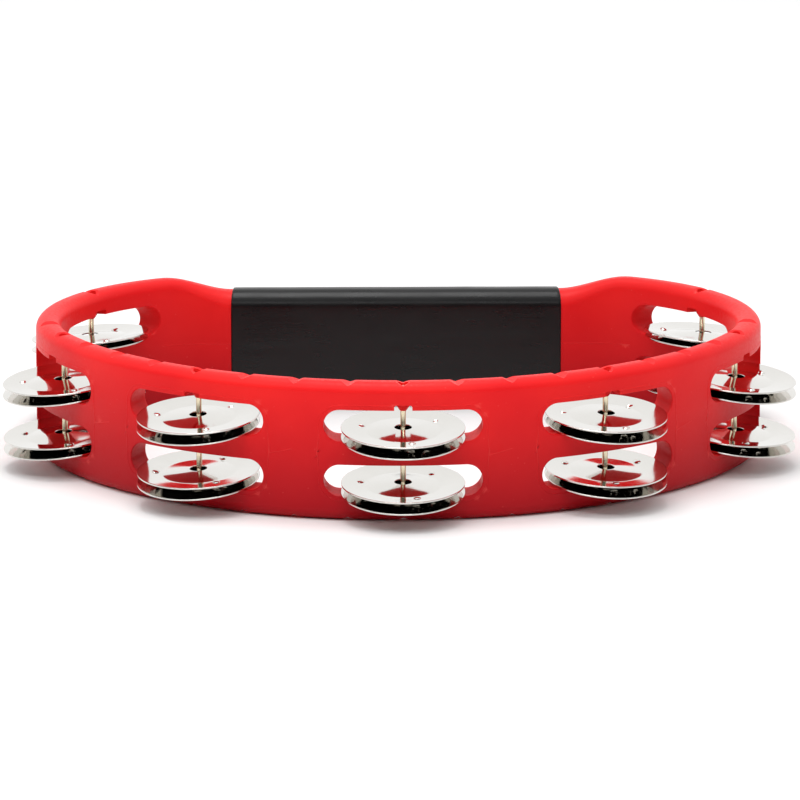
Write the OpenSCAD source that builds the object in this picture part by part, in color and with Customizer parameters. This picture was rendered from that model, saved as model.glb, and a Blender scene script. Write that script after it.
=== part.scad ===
// Hand tambourine: an oval moulded frame with a sleeved grip at the back
// and seven jingle stations, each with two slots, two jingle pairs and one nail.
// +Z is up, +Y points to the grip, and the frame's lower rim rests on Z = 0.

/* [Frame] */
// Height of the frame at the jingles
frame_h = 50; // [48:1:54]
// Thickness of the frame wall
wall_t = 9.4; // [8.6:0.2:10.6]
// Rounding radius of the upper and lower rim
rim_r = 4; // [2:0.5:4]
// Radius of the wide front arc, on the wall's centre line
front_r = 134.5; // [130:0.5:140]
// Radius of the two side arcs, on the wall's centre line
side_r = 70.5; // [66:0.5:74]
// Angle between neighbouring jingle stations on the front arc
station_angle = 32.5; // [31:0.5:33]

/* [Grip] */
// Thickness of the frame beside the grip sleeve
grip_t = 13.6; // [12:0.2:15]
// Height of the frame beside the grip sleeve
grip_h = 39.2; // [36:0.4:44]
// Distance from the middle of the grip to where the frame reaches its full height
shoulder_x = 88; // [84:1:92]
// Length of the grip sleeve
sleeve_l = 124; // [110:1:126]
// Thickness of the sleeve's wall
sleeve_t = 1.6; // [1.2:0.1:2.5]
// How far the sleeve stands out of the frame beside it
sleeve_proud = 0.7; // [0.4:0.1:1]

/* [Slots] */
// Length of a jingle slot
slot_l = 57.6; // [54:0.2:60]
// Height of a jingle slot
slot_h = 11.4; // [11:0.1:12]
// Distance between the lower and the upper row of slots
row_pitch = 19.9; // [19.5:0.1:21]
// Slope of the slots and the jingles, down to the outside
slot_tilt = 5.6; // [0:0.2:8]
// Width of the channel in the upper slot's ceiling
channel_w = 6.4; // [5:0.2:8]
// Depth of that channel
channel_h = 1.9; // [1:0.1:2.5]
// Width of the V grooves across the rims
groove_w = 5.3; // [3:0.1:6]
// Depth of the V grooves across the rims
groove_h = 1.3; // [0.5:0.1:2]

/* [Jingles] */
// Diameter of a jingle
disc_d = 44; // [40:0.5:45]
// Diameter of the hole in a jingle
disc_hole_d = 6.1; // [5:0.1:7]
// Thickness of the jingle's sheet metal
sheet_t = 0.55; // [0.4:0.05:0.65]
// Diameter of the round crease between a jingle's domed middle and its rim
disc_crease_d = 26.6; // [24:0.2:30]
// How far a jingle's rim stands off its crease
disc_rise = 1.1; // [0.8:0.05:1.3]
// How far a jingle's domed middle stands off its crease
disc_dome = 1.1; // [0.6:0.05:1.3]
// Diameter of the nail that carries the jingles
nail_d = 2; // [1.8:0.1:2.4]

/* [Hidden] */
$fn = 120;
stations = [-3:3];
rows = [0, 1];
discs = [0, 1];

// The gaps of the jingle stack: below it and between the two discs. The discs of
// a pair hang on the nail with these offsets and extra slopes to the outside, for
// the lower and the upper one, and each is turned from the last by the spin.
floor_gap = 0.15;
disc_gap = 0.15;
disc_shift = [1.3, 0.8];
disc_rock = [2, 0];
disc_spin = 40;

nail_fit = 0.02;
nail_end_z = 2.5;
nail_bore_z = 2;
nail_tip_h = 2.5;
nail_head_d = 3.8;
nail_head_h = 0.7;
head_z = frame_h - groove_h - 0.3 - nail_head_h;
boss_top_d = 4.9;
boss_tip_d = 2.9;
boss_drop = 0.5;
cut = 1;

// The wall's centre line: a front arc from station -2 to station 2, a side arc on
// each side of it, and a straight run between the side arcs, under the grip.
station_pitch = front_r * station_angle * PI / 180;
front_sweep = 2 * station_angle;
side_x = (front_r - side_r) * sin(front_sweep);
front_reach = max(disc_reach(0), disc_reach(1));
side_back = (front_r - side_r) * cos(front_sweep);
front_y = (front_r + front_reach + side_back - side_r - wall_t / 2 - sleeve_proud) / 2;
side_y = front_y - side_back;
back_y = side_y + side_r;

// The grip is thicker than the wall, towards the inside only.
grip_y = back_y - (grip_t - wall_t) / 2;
grip_r = 6;
sleeve_outer_t = grip_t + 2 * sleeve_proud;
sleeve_outer_h = grip_h + 2 * sleeve_proud;
core_t = sleeve_outer_t - 2 * sleeve_t;
core_h = sleeve_outer_h - 2 * sleeve_t;
core_fit = 0.05;
core_spare = 2;
sleeve_end_gap = 0.2;
sleeve_r = grip_r + sleeve_proud;

// Each shoulder is lofted from the wall's section to the grip's.
shoulder_steps = 10;
shoulder_overlap = 0.02;
corner_steps = 6;
shoulder_turn = asin((shoulder_x - side_x) / side_r);

// Neighbouring runs of the wall differ by this much on each face, so that one
// passes into the other cleanly: the front arc, and each shoulder.
lap_step = 0.02;
lap_angle = 0.4;
shoulder_lap = 0.08;

frame_red = [0.86, 0.12, 0.12];
sleeve_black = [0.05, 0.05, 0.05];
steel = [0.8, 0.8, 0.8];
nail_brass = [0.78, 0.7, 0.5];

// Angle of a place on the centre line, counted from the front in steps of the
// station pitch; beyond the front arc the side arc turns faster.
function path_angle(s) = abs(s) <= 2
    ? s * station_angle
    : sign(s) * (front_sweep + (abs(s) - 2) * station_pitch / side_r * 180 / PI);
function path_x(s) = abs(s) <= 2
    ? front_r * sin(path_angle(s))
    : sign(s) * side_x + side_r * sin(path_angle(s));
function path_y(s) = abs(s) <= 2
    ? front_y - front_r * cos(path_angle(s))
    : side_y - side_r * cos(path_angle(s));
function slot_z(row) = frame_h / 2 + (row - 0.5) * row_pitch;

// Height of a disc's crease above the slot's floor, as the pair lies in the slot.
function disc_rest(disc) =
    let (lower = floor_gap + disc_rise + sheet_t + wall_t / 2 * tan(disc_rock[0]))
    disc == 0 ? lower : lower + disc_gap + disc_crease_d / 2 * tan(disc_rock[0]);

// How far a disc's rim stands out from the wall's centre line.
function disc_reach(disc) =
    let (
        edge = disc == 0 ? -disc_rise : disc_rise + sheet_t,
        rock = disc_rock[disc],
        outwards = disc_shift[disc] + disc_d / 2 * cos(rock) + edge * sin(rock),
        height = disc_rest(disc) - slot_h / 2 - disc_d / 2 * sin(rock) + edge * cos(rock)
    )
    outwards * cos(slot_tilt) + height * sin(slot_tilt);

function side_name(i) = i == 0 ? "front" : str(i < 0 ? "left_" : "right_", abs(i));
function row_name(row) = row == 0 ? "low" : "high";
function disc_name(disc) = disc == 0 ? "bottom" : "top";
function nail_name(i) = str("nail_", side_name(i));
function jingle_name(i, row, disc) =
    str("jingle_", side_name(i), "_", row_name(row), "_", disc_name(disc));

// Places children on the centre line, with X along the wall and -Y outwards.
module at_path(s) {
    translate([path_x(s), path_y(s), 0])
        rotate([0, 0, path_angle(s)])
            children();
}

// A rectangle with round corners, centred on the origin.
module round_rect(w, h, r) {
    square([w - 2 * r, h], center = true);
    square([w, h - 2 * r], center = true);
    for (x = [-1, 1], y = [-1, 1])
        translate([x * (w / 2 - r), y * (h / 2 - r)])
            circle(r);
}

// A bent run of the wall about a vertical axis.
module wall_arc(r, from, sweep, thinner = 0) {
    translate([0, 0, frame_h / 2])
        rotate([0, 0, from])
            rotate_extrude(angle = sweep)
                translate([r, 0])
                    round_rect(
                        wall_t - 2 * thinner,
                        frame_h - 2 * thinner,
                        rim_r - thinner
                    );
}

// A straight run of a section, centred on x = 0.
module bar(l, y) {
    translate([-l / 2, y, frame_h / 2])
        rotate([90, 0, 90])
            linear_extrude(l)
                children();
}

module both_sides() {
    children();
    mirror([1, 0, 0]) children();
}

// Points round a section that is t thick and h high with corners of radius r.
function section_points(t, h, r) = [
    for (corner = [0:3], k = [0:corner_steps])
        let (
            angle = 90 * (corner + k / corner_steps),
            side = corner == 0 || corner == 3 ? 1 : -1,
            level = corner < 2 ? 1 : -1
        )
        [
            side * (t / 2 - r) + r * cos(angle),
            level * (h / 2 - r) + r * sin(angle)
        ]
];

// One section of the right shoulder; done runs from 0 at the wall to 1 at the grip,
// and the section grows thicker towards the inside only.
function shoulder_section(done) =
    let (
        eased = pow(max(done, 0), 2) * (3 - 2 * done),
        x = shoulder_x + (sleeve_l / 2 - shoulder_x) * done,
        turn = asin((x - side_x) / side_r),
        heading = 180 - turn * (1 - eased),
        t = wall_t + (grip_t - wall_t) * eased,
        h = frame_h + (grip_h - frame_h) * eased,
        r = rim_r + (grip_r - rim_r) * eased,
        y = side_y + side_r * cos(turn)
    )
    [
        for (p = section_points(t - 2 * shoulder_lap, h - 2 * shoulder_lap, r))
            let (inwards = p[0] + (t - wall_t) / 2)
            [
                x - inwards * sin(heading),
                y + inwards * cos(heading),
                frame_h / 2 + p[1]
            ]
    ];

module shoulder() {
    ring = 4 * (corner_steps + 1);
    sections = [
        for (step = [0:shoulder_steps])
            shoulder_section(
                (1 + shoulder_overlap) * step / shoulder_steps - shoulder_overlap
            )
    ];
    polyhedron(
        points = [for (section = sections, p = section) p],
        faces = concat(
            [[for (k = [0:ring - 1]) k]],
            [
                for (step = [0:shoulder_steps - 1], k = [0:ring - 1])
                    let (
                        here = step * ring,
                        next = here + ring,
                        other = (k + 1) % ring
                    )
                    each [
                        [here + other, here + k, next + k],
                        [here + other, next + k, next + other]
                    ]
            ],
            [[for (k = [ring - 1:-1:0]) shoulder_steps * ring + k]]
        )
    );
}

// The frame's wall, before anything is cut out of it.
module wall() {
    translate([0, front_y, 0])
        wall_arc(
            front_r,
            -90 - front_sweep - lap_angle,
            2 * (front_sweep + lap_angle),
            lap_step
        );
    both_sides() {
        translate([side_x, side_y, 0])
            wall_arc(
                side_r,
                front_sweep - 90,
                180 - shoulder_turn - front_sweep
            );
        shoulder();
    }
}

module grip_core() {
    bar(sleeve_l + 2 * core_spare, grip_y)
        round_rect(core_t, core_h, sleeve_r - sleeve_t);
}

module slot_shape() {
    round_end = slot_h / 2;
    square([slot_l - 2 * round_end, slot_h], center = true);
    for (x = [-1, 1])
        translate([x * (slot_l / 2 - round_end), 0])
            circle(round_end);
}

module slot(row) {
    translate([0, 0, slot_z(row)])
        rotate([90 + slot_tilt, 0, 0])
            linear_extrude(5 * wall_t, center = true)
                slot_shape();
}

// A channel in the upper slot's ceiling, with a conical boss left round the nail.
module ceiling_channel() {
    ceiling = slot_z(1) + slot_h / 2;
    difference() {
        translate([0, 0, slot_z(1)])
            rotate([slot_tilt, 0, 0])
                translate([-channel_w / 2, -wall_t, 0])
                    cube([channel_w, 2 * wall_t, slot_h / 2 + channel_h]);
        translate([0, 0, ceiling - boss_drop])
            cylinder(
                h = boss_drop + channel_h + cut,
                d1 = boss_tip_d,
                d2 = boss_top_d
            );
    }
}

// The nail's bore, with a seat for its head at the bottom of the groove.
module nail_bore() {
    translate([0, 0, nail_bore_z])
        cylinder(h = frame_h, d = nail_d + 2 * nail_fit);
    translate([0, 0, head_z])
        cylinder(h = frame_h, d = nail_head_d + 2 * nail_fit);
}

module groove() {
    for (level = [0, 1])
        translate([0, wall_t, level * frame_h])
            mirror([0, 0, level])
                rotate([90, 0, 0])
                    linear_extrude(2 * wall_t)
                        polygon([
                            [-groove_w / 2 - groove_w * cut / groove_h / 2, -cut],
                            [groove_w / 2 + groove_w * cut / groove_h / 2, -cut],
                            [0, groove_h]
                        ]);
}

module frame() {
    color(frame_red) {
        difference() {
            wall();
            for (s = [-2.25:0.25:2.25]) at_path(s) groove();
            for (i = stations)
                at_path(i) {
                    for (row = rows) slot(row);
                    ceiling_channel();
                    nail_bore();
                }
            for (s = [-3, 3]) at_path(s) groove();
        }
        grip_core();
    }
}

module grip_sleeve() {
    color(sleeve_black)
        bar(sleeve_l - 2 * sleeve_end_gap, grip_y)
            difference() {
                round_rect(sleeve_outer_t, sleeve_outer_h, sleeve_r);
                round_rect(
                    core_t + 2 * core_fit,
                    core_h + 2 * core_fit,
                    sleeve_r - sleeve_t + core_fit
                );
            }
}

// The nail: a flat head in the upper rim, a shaft through both slots, and a tip.
module nail(i) {
    color(nail_brass)
        at_path(i) {
            translate([0, 0, head_z])
                cylinder(h = nail_head_h, d = nail_head_d);
            translate([0, 0, nail_end_z + nail_tip_h])
                cylinder(h = head_z - nail_end_z - nail_tip_h, d = nail_d);
            translate([0, 0, nail_end_z])
                cylinder(h = nail_tip_h, d1 = nail_d / 3, d2 = nail_d);
        }
}

// Half section of a jingle: a low dome round the hole, a crease, and a rim that
// rises to its edge.
module disc_section() {
    polygon([
        [disc_hole_d / 2, disc_dome],
        [disc_crease_d / 2, 0],
        [disc_d / 2, disc_rise],
        [disc_d / 2, disc_rise + sheet_t],
        [disc_crease_d / 2, sheet_t],
        [disc_hole_d / 2, disc_dome + sheet_t]
    ]);
}

// The two discs of a pair lie crease to crease, so that their rims stand apart.
module jingle(i, row, disc) {
    color(steel)
        at_path(i)
            translate([0, 0, slot_z(row)])
                rotate([slot_tilt, 0, 0])
                    translate([0, -disc_shift[disc], disc_rest(disc) - slot_h / 2])
                        rotate([disc_rock[disc], 0, 0])
                            rotate([0, 0, disc_spin * (3 * i + 2 * row + disc)])
                                mirror([0, 0, 1 - disc])
                                    rotate_extrude()
                                        disc_section();
}

frame();
grip_sleeve();
for (i = stations)
    nail(i);
for (i = stations, row = rows, disc = discs)
    jingle(i, row, disc);
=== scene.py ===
"""Looks of the hand tambourine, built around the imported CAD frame.

Lengths are in millimetres in the frame's own axes, and become metres when a mesh is made.
"""

import math

import bmesh
import bpy
import numpy as np
from mathutils import Matrix, Vector, noise
from mathutils.geometry import delaunay_2d_cdt


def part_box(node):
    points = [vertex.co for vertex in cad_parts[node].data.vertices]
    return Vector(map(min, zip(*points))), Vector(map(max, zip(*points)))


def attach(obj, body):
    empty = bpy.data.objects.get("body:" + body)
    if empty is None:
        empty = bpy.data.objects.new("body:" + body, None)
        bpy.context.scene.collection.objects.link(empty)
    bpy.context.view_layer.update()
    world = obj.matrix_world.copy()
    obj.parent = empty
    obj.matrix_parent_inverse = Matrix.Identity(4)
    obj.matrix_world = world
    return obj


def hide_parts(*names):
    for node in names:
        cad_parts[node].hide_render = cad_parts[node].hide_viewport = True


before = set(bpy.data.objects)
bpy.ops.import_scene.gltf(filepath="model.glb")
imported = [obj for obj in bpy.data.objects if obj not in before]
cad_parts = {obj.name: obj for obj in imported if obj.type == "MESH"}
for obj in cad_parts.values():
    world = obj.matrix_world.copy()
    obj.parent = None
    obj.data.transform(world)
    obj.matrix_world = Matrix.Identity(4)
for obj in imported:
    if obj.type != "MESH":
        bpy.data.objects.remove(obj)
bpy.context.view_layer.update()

MM = 0.001

# ---------------------------------------------------------------- sizes of the part
# They are the CAD model's, apart from the slots' length and the jingles' dome, noted below.
FRAME_H = 50.0
WALL_T = 9.4
RIM_R = 4.0
FRONT_R = 134.5
SIDE_R = 70.5
STATION_ANGLE = math.radians(32.5)

GRIP_T = 13.6
GRIP_H = 39.2
GRIP_R = 6.0
SHOULDER_X = 88.0
SLEEVE_L = 123.6
SLEEVE_T = 1.6
SLEEVE_PROUD = 0.7

SLOT_L = 56.2  # 57.6 in the CAD model
SLOT_H = 11.4
ROW_PITCH = 19.9
SLOT_TILT = math.radians(5.6)
SLOT_EDGE_R = 0.35
CHANNEL_W = 6.4
CHANNEL_H = 1.9
GROOVE_W = 5.3
GROOVE_H = 1.3

DISC_R = 22.0
DISC_HOLE_R = 3.05
DISC_CREASE_R = 13.3
DISC_RISE = 1.1
DISC_DOME = 1.25  # 1.1 in the CAD model
SHEET_T = 0.55
DISC_GAP = 0.15
FLOOR_GAP = 0.15
DISC_SHIFT = (1.3, 0.8)
DISC_ROCK = (math.radians(2), 0.0)
DIMPLE_R = 1.35
DIMPLE_H = 0.55
DIMPLE_AT = 15.3
EDGE_R = 0.2

NAIL_R = 1.0
NAIL_HEAD_R = 1.9
NAIL_HEAD_H = 0.7
NAIL_END_Z = 2.5
NAIL_HEAD_Z = FRAME_H - GROOVE_H - 0.3 - NAIL_HEAD_H

STATIONS = range(-3, 4)
ROWS = (0, 1)
DISCS = (0, 1)

# The wall's centre line, as in the CAD model: front arc, side arcs, straight back.
PITCH = FRONT_R * STATION_ANGLE
FRONT_SWEEP = 2 * STATION_ANGLE
nail_low, nail_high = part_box("nail_front")
FRONT_Y = (nail_low.y + nail_high.y) / 2 / MM + FRONT_R
SIDE_X = (FRONT_R - SIDE_R) * math.sin(FRONT_SWEEP)
SIDE_Y = FRONT_Y - (FRONT_R - SIDE_R) * math.cos(FRONT_SWEEP)
BACK_Y = SIDE_Y + SIDE_R
GRIP_Y = BACK_Y - (GRIP_T - WALL_T) / 2
SIDE_START = 2 * PITCH
BACK_START = SIDE_START + SIDE_R * (math.pi - FRONT_SWEEP)
PATH_END = BACK_START + SIDE_X


def side_name(i):
    return "front" if i == 0 else ("left_" if i < 0 else "right_") + str(abs(i))


def disc_body(i, row, disc):
    return f"{side_name(i)}_{('low', 'high')[row]}_{('bottom', 'top')[disc]}"


def slot_z(row):
    return FRAME_H / 2 + (row - 0.5) * ROW_PITCH


def smooth(x):
    x = np.clip(x, 0.0, 1.0)
    return x * x * (3 - 2 * x)


# ---------------------------------------------------------------- the centre line
def path_point(p):
    """x, y and heading of the centre line at arc length p from the front, + to the right."""
    p = np.asarray(p, float)
    q = np.abs(p)
    front = np.minimum(q, SIDE_START) / FRONT_R
    side = np.clip(q - SIDE_START, 0, BACK_START - SIDE_START) / SIDE_R
    back = np.maximum(q - BACK_START, 0)
    heading = front + side
    on_front = q <= SIDE_START
    x = np.where(on_front, FRONT_R * np.sin(front), SIDE_X + SIDE_R * np.sin(heading) - back)
    y = np.where(
        on_front, FRONT_Y - FRONT_R * np.cos(front), SIDE_Y - SIDE_R * np.cos(heading)
    )
    sign = np.where(p < 0, -1.0, 1.0)
    return sign * x, y, sign * heading


def to_world(p, t, z):
    """The point at arc length p, t inwards from the centre line, at height z."""
    x, y, heading = path_point(p)
    return np.stack(
        np.broadcast_arrays(x - t * np.sin(heading), y + t * np.cos(heading), z), axis=-1
    )


def section(p):
    """Thickness, height, corner radius and inward offset of the wall at p."""
    x = np.abs(path_point(p)[0])
    behind = np.abs(p) > SIDE_START + PITCH
    done = smooth((SHOULDER_X - x) / (SHOULDER_X - SLEEVE_L / 2)) * behind
    seat = smooth((SLEEVE_L / 2 - 1.0 - x) / 0.4) * behind
    t = WALL_T + (GRIP_T - WALL_T) * done
    shrink = seat * (SLEEVE_T - SLEEVE_PROUD + 0.1)
    h = FRAME_H + (GRIP_H - FRAME_H) * done
    r = RIM_R + (GRIP_R - RIM_R) * done
    return t - 2 * shrink, h - 2 * shrink, r - shrink, (t - WALL_T) / 2


def cell_path(i, u, t):
    """Arc length of a point u along station i's tangent, on the surface t inwards.

    Inside the slots' length the sides run straight through the wall, as the slots do;
    towards the cell's ends they turn to run square to the wall.
    """
    outer_side = np.sign(u) * np.sign(i) > 0
    side_arc = (abs(i) == 3) | ((abs(i) == 2) & outer_side)
    radius = np.where(side_arc, SIDE_R, FRONT_R)
    fade = smooth((np.abs(u) - 30.0) / (PITCH / 2 - 30.0))
    straight = np.arcsin(np.clip(u / (radius - t), -1, 1)) * radius
    return i * PITCH + straight * (1 - fade) + u * fade


def face_point(p, t, z, u=None):
    """A point of the wall's flat faces or of a slot, given in the plain wall's sizes."""
    thick, high, r, offset = section(p)
    inwards = t * thick / WALL_T + offset
    middle = FRAME_H / 2
    height = middle + (z - middle) * (high - 2 * r) / (FRAME_H - 2 * RIM_R)
    if u is not None:
        near_slots = smooth((middle - RIM_R - np.abs(z - middle)) / 3.2)
        near_slots = near_slots * smooth((PITCH / 2 - np.abs(u)) / 7.0)
        height = height + inwards * math.tan(SLOT_TILT) * near_slots
    return to_world(p, inwards, height)


def rim_point(p, side, angle, level):
    """A point of a rim's rounding; angle runs from the rim's crest to the wall's face."""
    thick, high, r, offset = section(p)
    inwards = side * (thick / 2 - r + r * np.sin(angle)) + offset
    height = FRAME_H / 2 + level * (high / 2 - r + r * np.cos(angle))
    return to_world(p, inwards, height)


# ---------------------------------------------------------------- mesh helpers
class Shell:
    """Collects grids and triangles of points in millimetres, and makes one mesh."""

    def __init__(self):
        self.points = []
        self.faces = []
        self.count = 0

    def add(self, points, faces):
        points = np.asarray(points, float).reshape(-1, 3)
        self.points.append(points)
        self.faces.extend(tuple(int(k) + self.count for k in f) for f in faces)
        self.count += len(points)

    def grid(self, points, wrap=False, flip=False):
        """A grid of points[row][column]; wrap joins the last column to the first."""
        points = np.asarray(points, float)
        rows, columns = points.shape[:2]
        last = columns if wrap else columns - 1
        faces = []
        for r in range(rows - 1):
            for c in range(last):
                d = (c + 1) % columns
                quad = (r * columns + c, r * columns + d, (r + 1) * columns + d, (r + 1) * columns + c)
                faces.append(quad[::-1] if flip else quad)
        self.add(points, faces)

    def cap(self, loop, flip=False):
        order = list(range(len(loop)))
        self.add(loop, [order[::-1] if flip else order])

    def mesh(self, name, weld=0.002):
        mesh = bpy.data.meshes.new(name)
        points = np.concatenate(self.points) * MM
        mesh.from_pydata(points.tolist(), [], self.faces)
        work = bmesh.new()
        work.from_mesh(mesh)
        bmesh.ops.remove_doubles(work, verts=work.verts, dist=weld * MM)
        bmesh.ops.recalc_face_normals(work, faces=work.faces)
        work.to_mesh(mesh)
        work.free()
        mesh.update()
        return mesh


def new_object(name, mesh):
    obj = bpy.data.objects.new(name, mesh)
    bpy.context.scene.collection.objects.link(obj)
    return obj


def apply_modifiers(obj):
    bpy.context.view_layer.update()
    graph = bpy.context.evaluated_depsgraph_get()
    mesh = bpy.data.meshes.new_from_object(obj.evaluated_get(graph))
    old = obj.data
    obj.modifiers.clear()
    obj.data = mesh
    bpy.data.meshes.remove(old)


def boolean(obj, tool, operation):
    modifier = obj.modifiers.new(operation, "BOOLEAN")
    modifier.operation = operation
    modifier.solver = "MANIFOLD"
    modifier.object = tool
    apply_modifiers(obj)
    bpy.data.objects.remove(tool)


def shade(mesh, sharp_degrees):
    mesh.polygons.foreach_set("use_smooth", [True] * len(mesh.polygons))
    mesh.set_sharp_from_angle(angle=math.radians(sharp_degrees))
    mesh.update()


def inside(loop, points):
    """Which points lie inside a closed 2D loop."""
    a, b = loop, np.roll(loop, -1, axis=0)
    x, y = points[:, 0][:, None], points[:, 1][:, None]
    crosses = (a[:, 1] > y) != (b[:, 1] > y)
    rise = np.where(b[:, 1] == a[:, 1], 1e-9, b[:, 1] - a[:, 1])
    at = a[:, 0] + (y - a[:, 1]) * (b[:, 0] - a[:, 0]) / rise
    return (np.sum(crosses & (x < at), axis=1) % 2) == 1


def triangulate(border, holes, scattered):
    """Triangles that fill a 2D border around holes, through all the points given."""
    loops = [border] + holes
    points = np.concatenate(loops + [scattered])
    edges, start = [], 0
    for loop in loops:
        n = len(loop)
        edges += [(start + k, start + (k + 1) % n) for k in range(n)]
        start += n
    flat = [Vector((float(x), float(y))) for x, y in points]
    out, _, faces, _, _, _ = delaunay_2d_cdt(flat, edges, [], 1, 1e-5)
    out = np.array([(v.x, v.y) for v in out])
    faces = np.array([f for f in faces if len(f) == 3])
    centres = out[faces].mean(axis=1)
    keep = inside(border, centres)
    for hole in holes:
        keep &= ~inside(hole, centres)
    return out, faces[keep]


# ---------------------------------------------------------------- frame
def slot_outline(grow):
    """Points and outward normals of a slot's rounded end-to-end outline."""
    end = SLOT_H / 2
    half = SLOT_L / 2 - end
    turns = np.radians(np.linspace(-90, 90, 25))
    run = np.linspace(-half, half, 24)[1:-1]
    flat = np.zeros_like(run)
    right = np.stack([half + end * np.cos(turns), end * np.sin(turns)], 1)
    parts = [
        np.stack([run, flat - end], 1), right,
        np.stack([-run, flat + end], 1), -right,
    ]
    normals = [
        np.stack([flat, flat - 1], 1), np.stack([np.cos(turns), np.sin(turns)], 1),
        np.stack([flat, flat + 1], 1), -np.stack([np.cos(turns), np.sin(turns)], 1),
    ]
    return np.concatenate(parts) + grow * np.concatenate(normals)


def slot_loops(grow):
    return [slot_outline(grow) + (0, slot_z(row)) for row in ROWS]


def cell_columns():
    return np.linspace(-PITCH / 2, PITCH / 2, 36)


def cell_rows():
    return np.linspace(RIM_R, FRAME_H - RIM_R, 20)


def rectangle_border(columns, rows):
    low, high = rows[0], rows[-1]
    return np.concatenate([
        np.stack([columns, np.full_like(columns, low)], 1),
        np.stack([np.full_like(rows, columns[-1]), rows], 1)[1:],
        np.stack([columns[::-1], np.full_like(columns, high)], 1)[1:],
        np.stack([np.full_like(rows, columns[0]), rows[::-1]], 1)[1:-1],
    ])


def slot_distance(points):
    """Distance of 2D points from the nearest slot's outline, negative inside it."""
    end = SLOT_H / 2
    half = SLOT_L / 2 - end
    along = np.maximum(np.abs(points[:, 0]) - half, 0)
    nearest = [np.hypot(along, points[:, 1] - slot_z(row)) - end for row in ROWS]
    return np.minimum(*nearest)


def cell_pattern():
    """The face of one station's stretch of wall, flattened, with its two slots left open."""
    step = 2.2
    border = rectangle_border(cell_columns(), cell_rows())
    xs = np.arange(-PITCH / 2 + 0.6 * step, PITCH / 2 - 0.5 * step, step)
    zs = np.arange(RIM_R + 0.6 * step, FRAME_H - RIM_R - 0.5 * step, step * 0.87)
    spread = np.array([
        (x + (k % 2) * step / 2, z)
        for k, z in enumerate(zs)
        for x in xs
        if abs(x + (k % 2) * step / 2) < PITCH / 2 - 0.5 * step
    ])
    near = [loop for ring in (1.1, 2.3) for loop in slot_loops(SLOT_EDGE_R + ring)]
    rings = np.concatenate([loop[::2] for loop in near])
    rings = rings[slot_distance(rings) > SLOT_EDGE_R + 0.9]
    spread = spread[slot_distance(spread) > SLOT_EDGE_R + 3.2]
    return triangulate(border, slot_loops(SLOT_EDGE_R), np.concatenate([rings, spread]))


def slot_tube_rows():
    """Offset from the outline and depth t of each ring of a slot's wall, outside to inside."""
    turns = np.radians(np.linspace(0, 90, 7))
    grow = SLOT_EDGE_R * (1 - np.sin(turns))
    depth = WALL_T / 2 - SLOT_EDGE_R * (1 - np.cos(turns))
    straight = np.linspace(-depth[-1], depth[-1], 7)[1:-1]
    return np.concatenate([
        np.stack([grow, -depth], 1),
        np.stack([np.zeros_like(straight), straight], 1),
        np.stack([grow[::-1], depth[::-1]], 1),
    ])


def rim_rows():
    """Side and rounding angle of each row over a rim, from the outer to the inner face."""
    turns = np.radians(np.linspace(90, 0, 10))
    return [(-1, a) for a in turns] + [(1, a) for a in turns[::-1]]


def add_cell(shell, i, pattern):
    flat, triangles = pattern
    u, z = flat[:, 0], flat[:, 1]
    for t in (-WALL_T / 2, WALL_T / 2):
        shell.add(face_point(cell_path(i, u, t), np.full_like(u, t), z, u), triangles)
    rows = slot_tube_rows()
    for row in ROWS:
        rings = []
        for grow, t in rows:
            loop = slot_outline(grow)
            u = loop[:, 0]
            z = loop[:, 1] + slot_z(row)
            rings.append(face_point(cell_path(i, u, t), np.full_like(u, t), z, u))
        shell.grid(rings, wrap=True)
    columns = cell_columns()
    for level in (-1, 1):
        strip = []
        for side, angle in rim_rows():
            t = side * (WALL_T / 2 - RIM_R + RIM_R * math.sin(angle))
            strip.append(rim_point(cell_path(i, columns, t), side, angle, level))
        shell.grid(strip)


def add_back(shell, sign):
    """The plain stretch from the last station to the middle of the grip."""
    first = 3.5 * PITCH
    seat = BACK_START + SIDE_X - SLEEVE_L / 2 + 1.0
    run = np.concatenate([
        np.linspace(first, seat - 0.6, 24),
        seat + np.linspace(-0.4, 1.0, 8),
        np.linspace(seat + 2.0, PATH_END, 30),
    ])
    p = sign * run
    for t in (-WALL_T / 2, WALL_T / 2):
        shell.grid([face_point(p, np.full_like(p, t), z) for z in cell_rows()])
    for level in (-1, 1):
        shell.grid([rim_point(p, side, angle, level) for side, angle in rim_rows()])


def prism(shell, outline, place):
    """A closed prism: outline is a list of 2D points, place maps one at end 0 or 1."""
    ends = [[place(a, b, end) for a, b in outline] for end in (0, 1)]
    shell.grid(ends, wrap=True)
    shell.cap(ends[0])
    shell.cap(ends[1])


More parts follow.
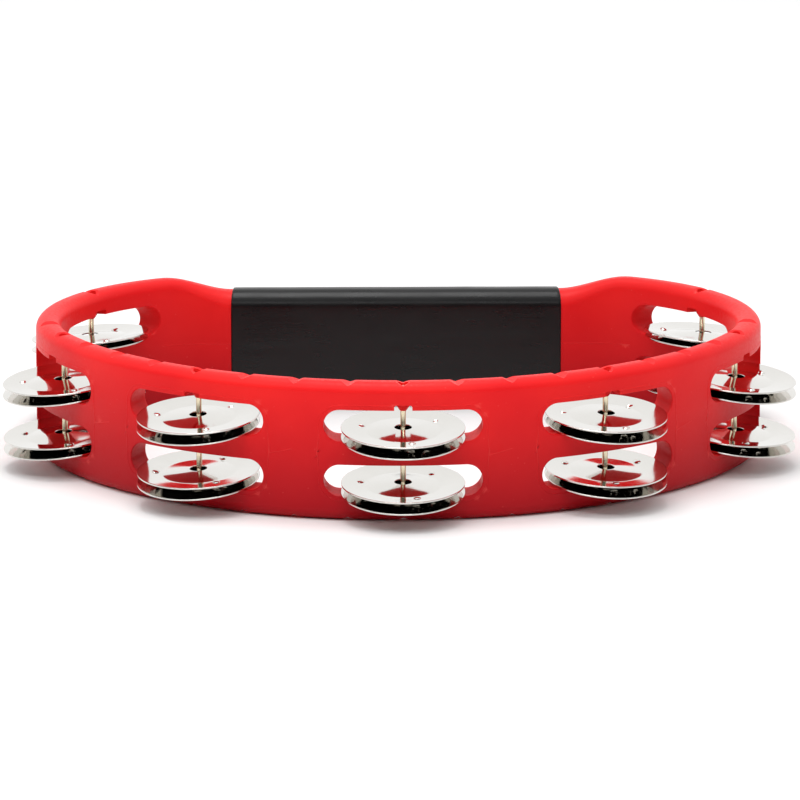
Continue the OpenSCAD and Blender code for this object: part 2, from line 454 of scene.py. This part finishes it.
def frame_cutters():
    """V grooves across both rims and the channels over the upper slots."""
    shell = Shell()
    over = 1.0
    half = GROOVE_W / 2 * (GROOVE_H + over) / GROOVE_H
    soft = 0.35
    lift = soft * 2 * GROOVE_H / GROOVE_W
    groove = [
        (-half, over), (-soft, lift - GROOVE_H), (-soft * 0.4, -GROOVE_H + lift * 0.5),
        (soft * 0.4, -GROOVE_H + lift * 0.5), (soft, lift - GROOVE_H), (half, over),
    ]
    steps = [k / 4 for k in range(-9, 10)] + [-3, 3]
    for k in steps:
        x, y, heading = (float(v) for v in path_point(k * PITCH))
        along = np.array([math.cos(heading), math.sin(heading), 0])
        inwards = np.array([-math.sin(heading), math.cos(heading), 0])
        middle = np.array([x, y, FRAME_H / 2])
        for level in (-1, 1):
            prism(shell, groove, lambda a, b, end: middle + along * a
                  + inwards * (end - 0.5) * 2 * WALL_T
                  + np.array([0, 0, level * (FRAME_H / 2 + b)]))
    for i in STATIONS:
        low = slot_z(1) + SLOT_H / 2 - 1.5
        high = slot_z(1) + SLOT_H / 2 + CHANNEL_H
        corner = 0.5
        outline = [
            (-CHANNEL_W / 2, low), (CHANNEL_W / 2, low), (CHANNEL_W / 2, high - corner),
            (CHANNEL_W / 2 - corner, high), (corner - CHANNEL_W / 2, high),
            (-CHANNEL_W / 2, high - corner),
        ]
        matrix = station_matrix(i)
        slope = math.tan(SLOT_TILT)
        prism(shell, outline, lambda a, b, end: matrix @ np.array([
            a, (end - 0.5) * 2 * WALL_T, b + (end - 0.5) * 2 * WALL_T * slope, 1]))
    return shell


def station_matrix(i):
    """Station i's own axes: X along the wall, Y inwards; a 3 by 4 matrix."""
    x, y, heading = (float(v) for v in path_point(i * PITCH))
    c, s = math.cos(heading), math.sin(heading)
    return np.array([[c, -s, 0, x], [s, c, 0, y], [0, 0, 1, 0]])


def lathe(shell, profile, segments, matrix=None):
    """Turns a half section, a list of (radius, z) that starts and ends on the axis."""
    turns = np.linspace(0, 2 * math.pi, segments, endpoint=False)
    rings = []
    for radius, z in profile:
        ring = np.stack([radius * np.cos(turns), radius * np.sin(turns), np.full_like(turns, z)], 1)
        if matrix is not None:
            ring = ring @ matrix[:, :3].T + matrix[:, 3]
        rings.append(ring)
    shell.grid(rings, wrap=True)


def frame_additions():
    """The bosses round the nails, and the moulding's fine raised parting lines.

    The bosses hang 0.8 mm lower here than in the CAD model.
    """
    shell = Shell()
    ceiling = slot_z(1) + SLOT_H / 2
    boss = [
        (0, ceiling - 1.3), (1.05, ceiling - 1.3), (1.3, ceiling - 1.1),
        (2.25, ceiling + 0.35), (2.45, ceiling + CHANNEL_H + 0.8), (0, ceiling + CHANNEL_H + 0.8),
    ]
    for i in STATIONS:
        lathe(shell, boss, 24, station_matrix(i))
        for line in parting_lines(i):
            bead(shell, i, line)
    return shell


def parting_lines(i):
    """Lines of the moulding's slides on the outer face round station i's slots."""
    grow = 1.75
    end = SLOT_H / 2 + grow
    half = SLOT_L / 2 - SLOT_H / 2
    turn = np.radians(np.linspace(0, 90, 10))
    top, low = slot_z(1), slot_z(0)
    middle = FRAME_H / 2
    lines = []
    for side in (-1, 1):
        corner = [(side * (half + end * math.sin(a)), top + end * math.cos(a)) for a in turn]
        line = [(side * u, top + end) for u in np.arange(3.6, half, 2.0)] + corner
        line += [(side * (half + end), top - 3.5), (side * (half + end + 0.7), middle - 1.2)]
        lines.append(line)
        corner = [(side * (half + end * math.sin(a)), low - end * math.cos(a)) for a in turn]
        line = [(side * u, low - end) for u in np.arange(8.0, half, 2.0)] + corner
        line += [(side * (half + end), low + 3.5), (side * (half + end + 0.5), middle + 0.4)]
        lines.append(line)
    if i < 3:
        lines.append([(half + end + 0.7, middle - 1.2), (PITCH / 2 - 0.3, middle + 0.3)])
    return lines


# Offset across and height of a raised line's section, as parts of its width and height.
BEAD_SECTION = [(-0.5, -0.15), (-0.3, 0.6), (0.0, 1.0), (0.3, 0.6), (0.5, -0.15), (0.0, -3.0)]


def bead(shell, i, line, width=0.42, height=0.10):
    """A fine raised line that follows 2D points on the outer face of station i."""
    line = np.array(line)
    direction = np.gradient(line, axis=0)
    direction /= np.linalg.norm(direction, axis=1)[:, None]
    across = np.stack([-direction[:, 1], direction[:, 0]], 1)
    rows = []
    for offset, lift in BEAD_SECTION:
        uv = line + across * offset * width
        t = np.full(len(uv), -WALL_T / 2 - lift * height)
        rows.append(face_point(cell_path(i, uv[:, 0], -WALL_T / 2), t, uv[:, 1], uv[:, 0]))
    rows = np.array(rows).transpose(1, 0, 2)
    shell.grid(rows, wrap=True)
    shell.cap(rows[0])
    shell.cap(rows[-1])


def inner_lines():
    """The parting line along the inside of each shoulder, from the slots to the grip."""
    shell = Shell()
    for sign in (-1, 1):
        run = np.linspace(3.05 * PITCH + 28, PATH_END - SLEEVE_L / 2 + 0.5, 30)
        rows = []
        for offset, lift in BEAD_SECTION:
            p = sign * run
            z = np.full_like(p, FRAME_H / 2 + offset * 0.4)
            thick, _, _, shift = section(p)
            rows.append(to_world(p, thick / 2 + shift + lift * 0.08, z))
        rows = np.array(rows).transpose(1, 0, 2)
        shell.grid(rows, wrap=True)
        shell.cap(rows[0])
        shell.cap(rows[-1])
    return shell


def build_frame(material):
    shell = Shell()
    pattern = cell_pattern()
    for i in STATIONS:
        add_cell(shell, i, pattern)
    for sign in (-1, 1):
        add_back(shell, sign)
    obj = new_object("frame_shell", shell.mesh("frame_shell"))
    boolean(obj, new_object("cutters", frame_cutters().mesh("cutters")), "DIFFERENCE")
    boolean(obj, new_object("additions", frame_additions().mesh("additions")), "UNION")
    boolean(obj, new_object("inner_lines", inner_lines().mesh("inner_lines")), "UNION")
    seats = Shell()
    for i in STATIONS:
        profile = [(0, NAIL_HEAD_Z), (NAIL_HEAD_R + 0.08, NAIL_HEAD_Z),
                   (NAIL_HEAD_R + 0.08, FRAME_H + 1), (0, FRAME_H + 1)]
        lathe(seats, profile, 32, station_matrix(i))
    boolean(obj, new_object("seats", seats.mesh("seats")), "DIFFERENCE")
    shade(obj.data, 24)
    obj.data.materials.clear()
    obj.data.materials.append(material)
    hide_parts("frame")
    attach(obj, "root")
    return obj


# ---------------------------------------------------------------- grip sleeve
def rounded_section(t, h, r, per_corner=14, per_side=14):
    """Points round a rectangle with round corners, (inwards, height), from its centre."""
    points = []
    corners = [(1, 1, 0), (-1, 1, 90), (-1, -1, 180), (1, -1, 270)]
    for sx, sz, start in corners:
        centre = np.array([sx * (t / 2 - r), sz * (h / 2 - r)])
        for a in np.radians(np.linspace(start, start + 90, per_corner)):
            points.append(centre + r * np.array([math.cos(a), math.sin(a)]))
        if sx * sz < 0:
            away = np.array([0.0, -sz]) if start == 90 else np.array([0.0, 1.0])
            length = h - 2 * r
            for k in range(1, per_side):
                points.append(points_on_side(centre, sx, r, away, length * k / per_side))
    return np.array(points)


def points_on_side(centre, sx, r, away, distance):
    return centre + np.array([sx * r, 0]) + away * distance


def build_sleeve(material):
    """A stretched tube: slightly uneven, with a wandering crease and rolled ends."""
    outer_t = GRIP_T + 2 * SLEEVE_PROUD
    outer_h = GRIP_H + 2 * SLEEVE_PROUD
    radius = GRIP_R + SLEEVE_PROUD
    outline = rounded_section(outer_t, outer_h, radius)
    closed = np.vstack([outline, outline[:1]])
    spans = np.linalg.norm(np.diff(closed, axis=0), axis=1)
    around = np.concatenate([[0], np.cumsum(spans)[:-1]])
    core = np.stack([
        np.clip(outline[:, 0], -(outer_t / 2 - radius), outer_t / 2 - radius),
        np.clip(outline[:, 1], -(outer_h / 2 - radius), outer_h / 2 - radius),
    ], 1)
    inward = core - outline
    inward /= np.linalg.norm(inward, axis=1)[:, None]
    half = SLEEVE_L / 2 - 0.1
    roll = 0.55
    lip = [math.radians(a) for a in (90, 68, 46, 24, 0)]
    run = np.linspace(-half + roll, half - roll, 150)
    rows = []
    for side in (-1, 1):
        part = []
        for a in lip:
            depth = roll * (1 - math.cos(a))
            part.append((side * (half - roll + roll * math.sin(a)), depth))
        rows.append(part)
    stations = rows[0] + [(x, 0.0) for x in run[1:-1]] + rows[1][::-1]
    stations = [(-half + roll, SLEEVE_T)] + stations + [(half - roll, SLEEVE_T)]
    grid = []
    for x, depth in stations:
        ring = []
        for k, (t, z) in enumerate(outline):
            wave = noise.noise(Vector((x * 0.035, around[k] * 0.05, 3.1)))
            fine = noise.noise(Vector((x * 0.12, around[k] * 0.11, 9.7)))
            crease_z = 1.5 * noise.noise(Vector((x * 0.03, 5.0, 0.0))) + 3.0 * x / half
            crease = math.exp(-((z - crease_z) / 0.45) ** 2) * (t > 0) * 0.10
            sink = depth + 0.16 * (0.5 + 0.5 * wave) + 0.05 * (0.5 + 0.5 * fine) + crease
            t2, z2 = outline[k] + inward[k] * sink
            lean = 1.0 + 0.10 * t2 / outer_t * 2
            near_end = smooth((abs(x) - half * 0.6) / (half * 0.4))
            end_shift = math.copysign(1.0, x) * (t2 / outer_t * 2 * 0.9 - 0.3) * near_end
            ring.append((x + float(end_shift) * lean * 0.9, GRIP_Y - t2, FRAME_H / 2 + z2))
        grid.append(ring)
    shell = Shell()
    shell.grid(grid, wrap=True)
    shell.cap(grid[0])
    shell.cap(grid[-1])
    obj = new_object("sleeve", shell.mesh("sleeve"))
    shade(obj.data, 50)
    obj.data.materials.append(material)
    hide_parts("grip_sleeve")
    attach(obj, "root")
    return obj


# ---------------------------------------------------------------- nails
def nail_profile():
    head_top = NAIL_HEAD_Z + NAIL_HEAD_H
    profile = [(0, NAIL_END_Z), (0.3, NAIL_END_Z + 0.3), (NAIL_R, NAIL_END_Z + 2.5)]
    profile += [(NAIL_R, z) for z in np.linspace(NAIL_END_Z + 3, NAIL_HEAD_Z - 7, 12)]
    for k in range(4):
        z = NAIL_HEAD_Z - 6 + k
        profile += [(NAIL_R, z), (NAIL_R - 0.08, z + 0.15)]
        profile += [(NAIL_R - 0.08, z + 0.35), (NAIL_R, z + 0.5)]
    profile += [
        (NAIL_R, NAIL_HEAD_Z - 0.4), (NAIL_R + 0.15, NAIL_HEAD_Z), (NAIL_HEAD_R - 0.1, NAIL_HEAD_Z + 0.02),
        (NAIL_HEAD_R, NAIL_HEAD_Z + 0.12), (NAIL_HEAD_R, head_top - 0.3),
        (NAIL_HEAD_R - 0.12, head_top - 0.14), (NAIL_HEAD_R * 0.6, head_top - 0.03), (0, head_top),
    ]
    return profile


def build_nails(material):
    for i in STATIONS:
        shell = Shell()
        lathe(shell, nail_profile(), 40, station_matrix(i))
        obj = new_object(f"nail_{side_name(i)}_turned", shell.mesh(f"nail_{i}"))
        shade(obj.data, 35)
        obj.data.materials.append(material)
        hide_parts(f"nail_{side_name(i)}")
        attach(obj, "root")


# ---------------------------------------------------------------- jingles
def circle(radius, count, centre=(0.0, 0.0), phase=0.0):
    turns = np.linspace(0, 2 * math.pi, count, endpoint=False) + phase
    return np.stack([centre[0] + radius * np.cos(turns), centre[1] + radius * np.sin(turns)], 1)


def dimple_centres(seed):
    """Three dimples a third of a turn apart, turned a little on each kind of disc."""
    turns = [math.radians(41 + 7 * (seed % 3) + 120 * k) for k in range(3)]
    return [(DIMPLE_AT * math.cos(a), DIMPLE_AT * math.sin(a)) for a in turns]


def soft_ramp(x, bend):
    """Zero below 0 and x above it, with a round passage of the given half width."""
    return np.where(np.abs(x) < bend, (x + bend) ** 2 / (4 * bend), np.maximum(x, 0))


def dish_height(points, seed):
    """Height of the sheet: a low dome, a round crease, a rising rim, dimples and waviness."""
    r = np.hypot(points[:, 0], points[:, 1])
    flare = soft_ramp(r - DISC_CREASE_R, 0.5) * DISC_RISE / (DISC_R - DISC_CREASE_R)
    inner = soft_ramp(DISC_CREASE_R - r, 0.5)
    span = DISC_CREASE_R - DISC_HOLE_R
    dome = DISC_DOME * inner / span
    z = flare + dome
    for cx, cy in dimple_centres(seed):
        d = np.hypot(points[:, 0] - cx, points[:, 1] - cy) / DIMPLE_R
        z = z + DIMPLE_H * np.where(d < 1, np.sqrt(np.clip(1 - d * d, 0, 1)), 0)
    fade = smooth((DISC_R - 1.5 - r) / 6.0)
    wave = np.array([noise.noise(Vector((x * 0.09, y * 0.09, seed * 7.3))) for x, y in points])
    return z + 0.03 * wave * fade


def disc_mesh(name, seed):
    """One dished jingle, its crease's underside on z = 0, its dome and rim above."""
    outer = circle(DISC_R - EDGE_R, 160)
    hole = circle(DISC_HOLE_R + EDGE_R, 48)
    scattered = [circle(DISC_HOLE_R + EDGE_R + 0.4, 48)]
    radii = list(np.arange(4.4, 12.4, 1.0)) + [12.8, 13.05, 13.3, 13.55, 13.8]
    radii += list(np.arange(14.7, 21.3, 1.1)) + [DISC_R - EDGE_R - 0.5]
    for k, radius in enumerate(radii):
        count = 160 if radius > 16 else int(radius * 8)
        scattered.append(circle(radius, count, phase=0.5 * k))
    scattered = np.concatenate(scattered)
    for centre in dimple_centres(seed):
        away = np.hypot(scattered[:, 0] - centre[0], scattered[:, 1] - centre[1])
        scattered = scattered[away > DIMPLE_R + 0.45]
        for radius in (0.3, 0.6, 0.85, 1.05, 1.15, 1.195, 1.21, 1.4):
            count = 12 if radius < 0.5 else 28
            scattered = np.vstack([scattered, circle(radius, count, centre)])
        scattered = np.vstack([scattered, [centre]])
    flat, triangles = triangulate(outer, [hole], scattered)
    low = dish_height(flat, seed)
    shell = Shell()
    shell.add(np.column_stack([flat, low]), triangles)
    shell.add(np.column_stack([flat, low + SHEET_T]), triangles)
    turn = np.radians(np.linspace(-90, 90, 9))
    for ring, sign in ((outer, 1), (hole, -1)):
        base = dish_height(ring, seed)
        direction = ring / np.hypot(ring[:, 0], ring[:, 1])[:, None]
        rows = []
        for a in turn:
            push = EDGE_R * math.cos(a)
            lift = SHEET_T / 2 + SHEET_T / 2 * math.sin(a)
            rows.append(np.column_stack([ring + sign * push * direction, base + lift]))
        shell.grid(rows, wrap=True)
    mesh = shell.mesh(name, weld=0.0005)
    shade(mesh, 40)
    return mesh


def disc_rest(disc):
    """Height of a disc's crease above the slot's floor, as the pair lies in the slot."""
    slope = math.tan(DISC_ROCK[0])
    lower = FLOOR_GAP + DISC_RISE + SHEET_T + WALL_T / 2 * slope
    return lower if disc == 0 else lower + DISC_GAP + DISC_CREASE_R * slope


def disc_matrix(i, row, disc):
    x, y, heading = (float(v) for v in path_point(i * PITCH))
    height = disc_rest(disc) - SLOT_H / 2
    place = Matrix.Translation((x * MM, y * MM, slot_z(row) * MM))
    place = place @ Matrix.Rotation(heading, 4, "Z") @ Matrix.Rotation(SLOT_TILT, 4, "X")
    place = place @ Matrix.Translation((0, -DISC_SHIFT[disc] * MM, height * MM))
    place = place @ Matrix.Rotation(DISC_ROCK[disc], 4, "X") @ Matrix.Rotation(-heading, 4, "Z")
    return place if disc else place @ Matrix.Rotation(math.pi, 4, "X")


def build_jingles(material):
    meshes = [disc_mesh(f"jingle_sheet_{k}", k) for k in range(4)]
    for mesh in meshes:
        mesh.materials.append(material)
    for i in STATIONS:
        for row in ROWS:
            for disc in DISCS:
                body = disc_body(i, row, disc)
                obj = new_object(f"disc_{body}", meshes[(i * 3 + row * 2 + disc) % 4])
                obj.matrix_world = disc_matrix(i, row, disc)
                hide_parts(f"jingle_{body}")
                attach(obj, body)


# ---------------------------------------------------------------- materials
class Nodes:
    """A small helper for building a material's node tree."""

    def __init__(self, name):
        self.material = bpy.data.materials.new(name)
        self.material.use_nodes = True
        self.tree = self.material.node_tree
        self.shader = self.tree.nodes["Principled BSDF"]

    def add(self, kind, **inputs):
        node = self.tree.nodes.new(kind)
        for key, value in inputs.items():
            node.inputs[key.replace("_", " ")].default_value = value
        return node

    def link(self, source, target):
        self.tree.links.new(source, target)

    def set(self, **values):
        for key, value in values.items():
            self.shader.inputs[key.replace("_", " ")].default_value = value

    def coordinates(self):
        return self.tree.nodes.new("ShaderNodeTexCoord").outputs["Object"]

    def noise(self, where, scale, detail=2.0, roughness=0.5):
        node = self.add("ShaderNodeTexNoise", Scale=scale, Detail=detail, Roughness=roughness)
        self.link(where, node.inputs["Vector"])
        return node.outputs["Fac"]

    def ramp(self, source, low, high, from_low=0.0, from_high=1.0):
        node = self.tree.nodes.new("ShaderNodeMapRange")
        keys = ("From Min", "From Max", "To Min", "To Max")
        for key, value in zip(keys, (from_low, from_high, low, high)):
            node.inputs[key].default_value = value
        self.link(source, node.inputs["Value"])
        return node.outputs["Result"]

    def mix(self, factor, a, b):
        node = self.tree.nodes.new("ShaderNodeMix")
        node.data_type = "RGBA"
        self.link(factor, node.inputs[0])
        for socket, colour in ((node.inputs[6], a), (node.inputs[7], b)):
            if isinstance(colour, tuple):
                socket.default_value = (*colour, 1)
            else:
                self.link(colour, socket)
        return node.outputs[2]

    def math(self, operation, a, b):
        node = self.tree.nodes.new("ShaderNodeMath")
        node.operation = operation
        for socket, value in zip(node.inputs, (a, b)):
            if isinstance(value, (int, float)):
                socket.default_value = value
            else:
                self.link(value, socket)
        return node.outputs[0]

    def bump(self, height, distance, strength=1.0, normal=None):
        node = self.add("ShaderNodeBump", Strength=strength, Distance=distance)
        self.link(height, node.inputs["Height"])
        if normal is not None:
            self.link(normal, node.inputs["Normal"])
        return node.outputs["Normal"]


def moulded_plastic():
    """Red ABS: faint flow marks, paler worn edges, fine grain; painted shade makes the faces turned to the
    front darker towards the bottom.
    """
    n = Nodes("red_moulded_plastic")
    where = n.coordinates()
    flow = n.noise(where, 28, 3)
    fine = n.noise(where, 900, 2)
    grain = n.noise(where, 2600, 1)
    specks = n.tree.nodes.new("ShaderNodeTexVoronoi")
    specks.inputs["Scale"].default_value = 260
    n.link(where, specks.inputs["Vector"])
    colour = n.mix(n.ramp(flow, 0, 1, 0.35, 0.65), (0.80, 0.008, 0.011), (0.88, 0.014, 0.014))
    height = n.tree.nodes.new("ShaderNodeSeparateXYZ")
    n.link(where, height.inputs[0])
    surface = n.tree.nodes.new("ShaderNodeNewGeometry")
    facing = n.tree.nodes.new("ShaderNodeSeparateXYZ")
    n.link(surface.outputs["Normal"], facing.inputs[0])
    outside = n.ramp(facing.outputs[1], 1, 0, -0.5, 0.1)
    # painted shade: faces turned to the front (-Y) are mixed towards a dark red towards the bottom,
    # standing in for less light falling low down
    low = n.math("MULTIPLY", n.ramp(height.outputs[2], 0.9, 0, 0.0, 0.044), outside)
    colour = n.mix(low, colour, (0.32, 0.0, 0.006))
    dust = n.ramp(specks.outputs["Distance"], 0.18, 0, 0.02, 0.09)
    colour = n.mix(dust, colour, (0.95, 0.20, 0.16))
    edge = n.ramp(surface.outputs["Pointiness"], 0, 0.25, 0.53, 0.62)
    colour = n.mix(edge, colour, (0.95, 0.12, 0.10))
    n.link(colour, n.shader.inputs["Base Color"])
    n.link(n.ramp(fine, 0.36, 0.50, 0.3, 0.7), n.shader.inputs["Roughness"])
    n.set(IOR=1.5, Specular_IOR_Level=0.16)
    rough = n.bump(grain, 0.00004, 0.5)
    n.link(n.bump(n.noise(where, 60, 2), 0.0004, 0.12, rough), n.shader.inputs["Normal"])
    return n.material


def black_sleeve():
    """Stretched black PVC tube: satin, with faint lengthwise draw marks and dust."""
    n = Nodes("black_sleeve")
    where = n.coordinates()
    stretch = n.add("ShaderNodeMapping")
    stretch.inputs["Scale"].default_value = (0.12, 1.0, 1.0)
    n.link(where, stretch.inputs["Vector"])
    streaks = n.noise(stretch.outputs["Vector"], 420, 3)
    cloud = n.noise(where, 45, 3)
    colour = n.mix(n.ramp(cloud, 0, 1, 0.3, 0.7), (0.0025, 0.0025, 0.0028), (0.005, 0.005, 0.0055))
    n.link(colour, n.shader.inputs["Base Color"])
    mixed = n.math("ADD", n.ramp(streaks, 0.0, 0.06, 0.3, 0.7), n.ramp(cloud, 0.22, 0.32, 0.3, 0.7))
    n.link(mixed, n.shader.inputs["Roughness"])
    n.set(IOR=1.5, Specular_IOR_Level=0.25)
    rough = n.bump(n.noise(where, 1500, 2), 0.00005, 0.5)
    n.link(n.bump(streaks, 0.00008, 0.35, rough), n.shader.inputs["Normal"])
    return n.material


def nickel_plate():
    """Bright nickel over pressed steel: fine turned rings, wiping marks and slight haze."""
    n = Nodes("nickel_plate")
    where = n.coordinates()
    split = n.tree.nodes.new("ShaderNodeSeparateXYZ")
    n.link(where, split.inputs[0])
    squares = n.math("ADD", n.math("MULTIPLY", split.outputs[0], split.outputs[0]),
                     n.math("MULTIPLY", split.outputs[1], split.outputs[1]))
    radius = n.math("SQRT", squares, 0.0)
    rings = n.tree.nodes.new("ShaderNodeTexNoise")
    rings.noise_dimensions = "1D"
    rings.inputs["Scale"].default_value = 2600
    n.link(radius, rings.inputs["W"])
    haze = n.noise(where, 90, 4, 0.6)
    colour = n.mix(haze, (0.69, 0.675, 0.64), (0.76, 0.745, 0.715))
    n.link(colour, n.shader.inputs["Base Color"])
    n.set(Metallic=1.0)
    n.link(n.ramp(haze, 0.05, 0.11, 0.35, 0.7), n.shader.inputs["Roughness"])
    n.link(n.bump(rings.outputs["Fac"], 0.000004, 0.5), n.shader.inputs["Normal"])
    return n.material


def nail_plate():
    """Pale brass-plated wire with drawing marks along its length."""
    n = Nodes("nail_plate")
    where = n.coordinates()
    stretch = n.add("ShaderNodeMapping")
    stretch.inputs["Scale"].default_value = (1.0, 1.0, 0.04)
    n.link(where, stretch.inputs["Vector"])
    streaks = n.noise(stretch.outputs["Vector"], 5000, 2)
    colour = n.mix(streaks, (0.66, 0.55, 0.36), (0.82, 0.74, 0.56))
    n.link(colour, n.shader.inputs["Base Color"])
    n.set(Metallic=1.0)
    n.link(n.ramp(streaks, 0.14, 0.26, 0.3, 0.7), n.shader.inputs["Roughness"])
    n.link(n.bump(streaks, 0.00002, 0.3), n.shader.inputs["Normal"])
    return n.material


# ---------------------------------------------------------------- stage
def build_stage():
    shell = Shell()
    size = 6000.0
    shell.add([(-size, -size, 0), (size, -size, 0), (size, size, 0), (-size, size, 0)], [(0, 1, 2, 3)])
    floor = new_object("floor", shell.mesh("floor"))
    floor.location.z = -0.0002
    n = Nodes("pale_floor")
    colour = n.mix(n.noise(n.coordinates(), 3, 2), (0.88, 0.88, 0.88), (0.90, 0.90, 0.90))
    n.link(colour, n.shader.inputs["Base Color"])
    n.set(Roughness=0.7)
    floor.data.materials.append(n.material)


def area_light(name, location, target, size, power, colour=(1, 1, 1)):
    data = bpy.data.lights.new(name, "AREA")
    data.shape = "RECTANGLE"
    data.size, data.size_y = size
    data.energy = power
    data.color = colour
    light = bpy.data.objects.new(name, data)
    bpy.context.scene.collection.objects.link(light)
    light.location = location
    light.rotation_euler = (Vector(target) - Vector(location)).to_track_quat("-Z", "Y").to_euler()
    return light


def build_light():
    """A studio: bright behind and above, dim in front and low, with a strip over the front."""
    world = bpy.data.worlds.new("studio")
    world.use_nodes = True
    tree = world.node_tree
    where = tree.nodes.new("ShaderNodeTexCoord").outputs["Generated"]
    split = tree.nodes.new("ShaderNodeSeparateXYZ")
    tree.links.new(where, split.inputs[0])
    lean = tree.nodes.new("ShaderNodeMath")
    lean.operation = "MULTIPLY_ADD"
    tree.links.new(split.outputs[1], lean.inputs[0])
    lean.inputs[1].default_value = 0.55
    tree.links.new(split.outputs[2], lean.inputs[2])
    level = tree.nodes.new("ShaderNodeMapRange")
    level.interpolation_type = "SMOOTHSTEP"
    for key, value in (("From Min", 0.0), ("From Max", 0.5), ("To Min", 0.12), ("To Max", 1.08)):
        level.inputs[key].default_value = value
    tree.links.new(lean.outputs[0], level.inputs["Value"])
    background = tree.nodes["Background"]
    background.inputs["Color"].default_value = (1.0, 1.0, 1.0, 1.0)
    tree.links.new(level.outputs["Result"], background.inputs["Strength"])
    scene = bpy.context.scene
    scene.world = world
    scene.view_settings.view_transform = "Standard"
    area_light("overhead", (-0.1, 0.0, 1.5), (0, 0, 0), (0.9, 0.6), 9)
    front = area_light("front", (-0.05, FRONT_Y * MM - 0.30, 0.24), (0, -0.1, 0.05), (0.5, 0.06), 0.3)
    front.visible_camera = False


def build_camera():
    azimuth = math.radians(-0.87)
    elevation = math.radians(13.3)
    distance = 2.439
    back = Vector((
        math.sin(azimuth) * math.cos(elevation),
        -math.cos(azimuth) * math.cos(elevation),
        math.sin(elevation),
    ))
    data = bpy.data.cameras.new("camera")
    data.lens = 303.4
    data.sensor_width = 36
    data.clip_end = 50
    camera = bpy.data.objects.new("camera", data)
    bpy.context.scene.collection.objects.link(camera)
    target = Vector((-0.00016, (FRONT_Y - FRONT_R + 61.44) * MM, 0.0286))
    camera.location = target + back * distance
    camera.rotation_euler = (-back).to_track_quat("-Z", "Y").to_euler()
    bpy.context.scene.camera = camera


build_camera()
build_light()
build_stage()
build_frame(moulded_plastic())
build_sleeve(black_sleeve())
build_nails(nail_plate())
build_jingles(nickel_plate())
